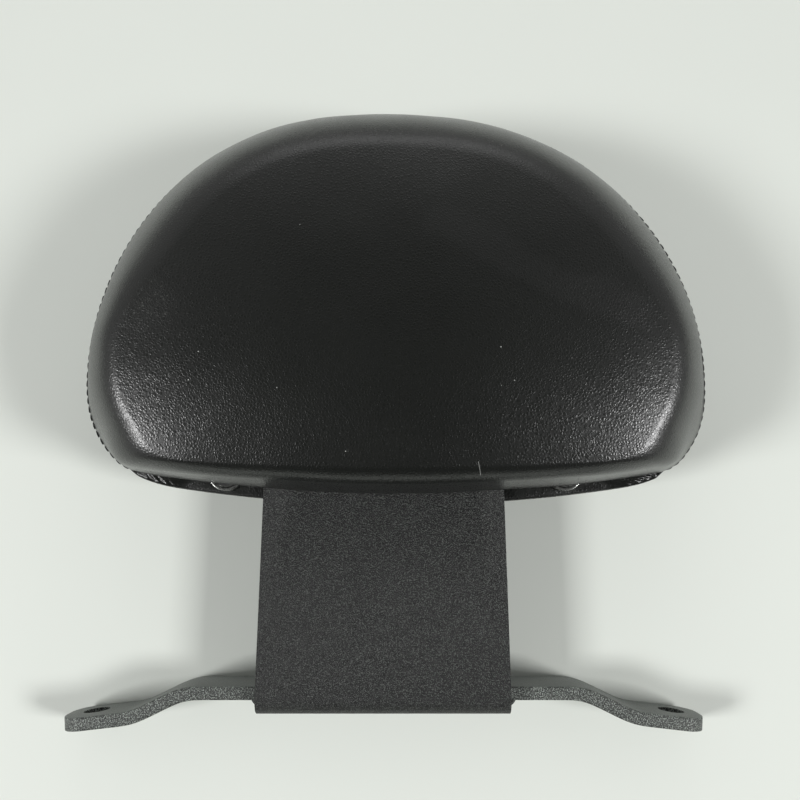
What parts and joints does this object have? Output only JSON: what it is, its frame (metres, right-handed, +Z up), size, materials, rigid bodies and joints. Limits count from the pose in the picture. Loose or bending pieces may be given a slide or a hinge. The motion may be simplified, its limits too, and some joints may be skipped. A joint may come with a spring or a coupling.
{
  "type": "motorbike seat backrest",
  "caption": "Half-moon leather backrest pad on a bent steel plate with a welded, joggled mounting bar drilled for bolts at both feet.",
  "frame": {"origin": "midway between the two bolt holes, on the undersides of the feet", "axes": "+Z up as fitted, from the feet to the top of the pad; the pad's face looks along -Y; +X to the right of a person who looks at the face"},
  "size_m": [0.287, 0.0959, 0.2828],
  "materials": {
    "powder_coat": "textured black powder coat, satin",
    "leather": "black pebbled leather, semi-gloss, lightly worn",
    "foam": "open-cell polyurethane foam",
    "board": "pressed board, matt",
    "zinc": "zinc-plated steel",
    "snap_metal": "dark nickel press stud"
  },
  "bodies": {
    "root": {"bracket_plate": "powder_coat", "mounting_bar": "powder_coat", "weld_left": "powder_coat", "weld_right": "powder_coat", "front_cover": "leather", "rear_cover": "leather", "lip_facing": "leather", "foam_core": "foam", "pad_board": "board", "rear_board": "board", "tee_nut_1": "zinc", "tee_nut_2": "zinc", "tee_nut_3": "zinc", "tee_nut_4": "zinc", "pad_screw_1": "zinc", "pad_screw_2": "zinc", "pad_screw_3": "zinc", "pad_screw_4": "zinc", "pad_washer_1": "zinc", "pad_washer_2": "zinc", "pad_washer_3": "zinc", "pad_washer_4": "zinc", "snap_cap_left": "snap_metal", "snap_cap_right": "snap_metal", "snap_socket_left": "snap_metal", "snap_socket_right": "snap_metal", "snap_stud_left": "snap_metal", "snap_stud_right": "snap_metal", "snap_post_left": "snap_metal", "snap_post_right": "snap_metal"}
  },
  "joints": []
}
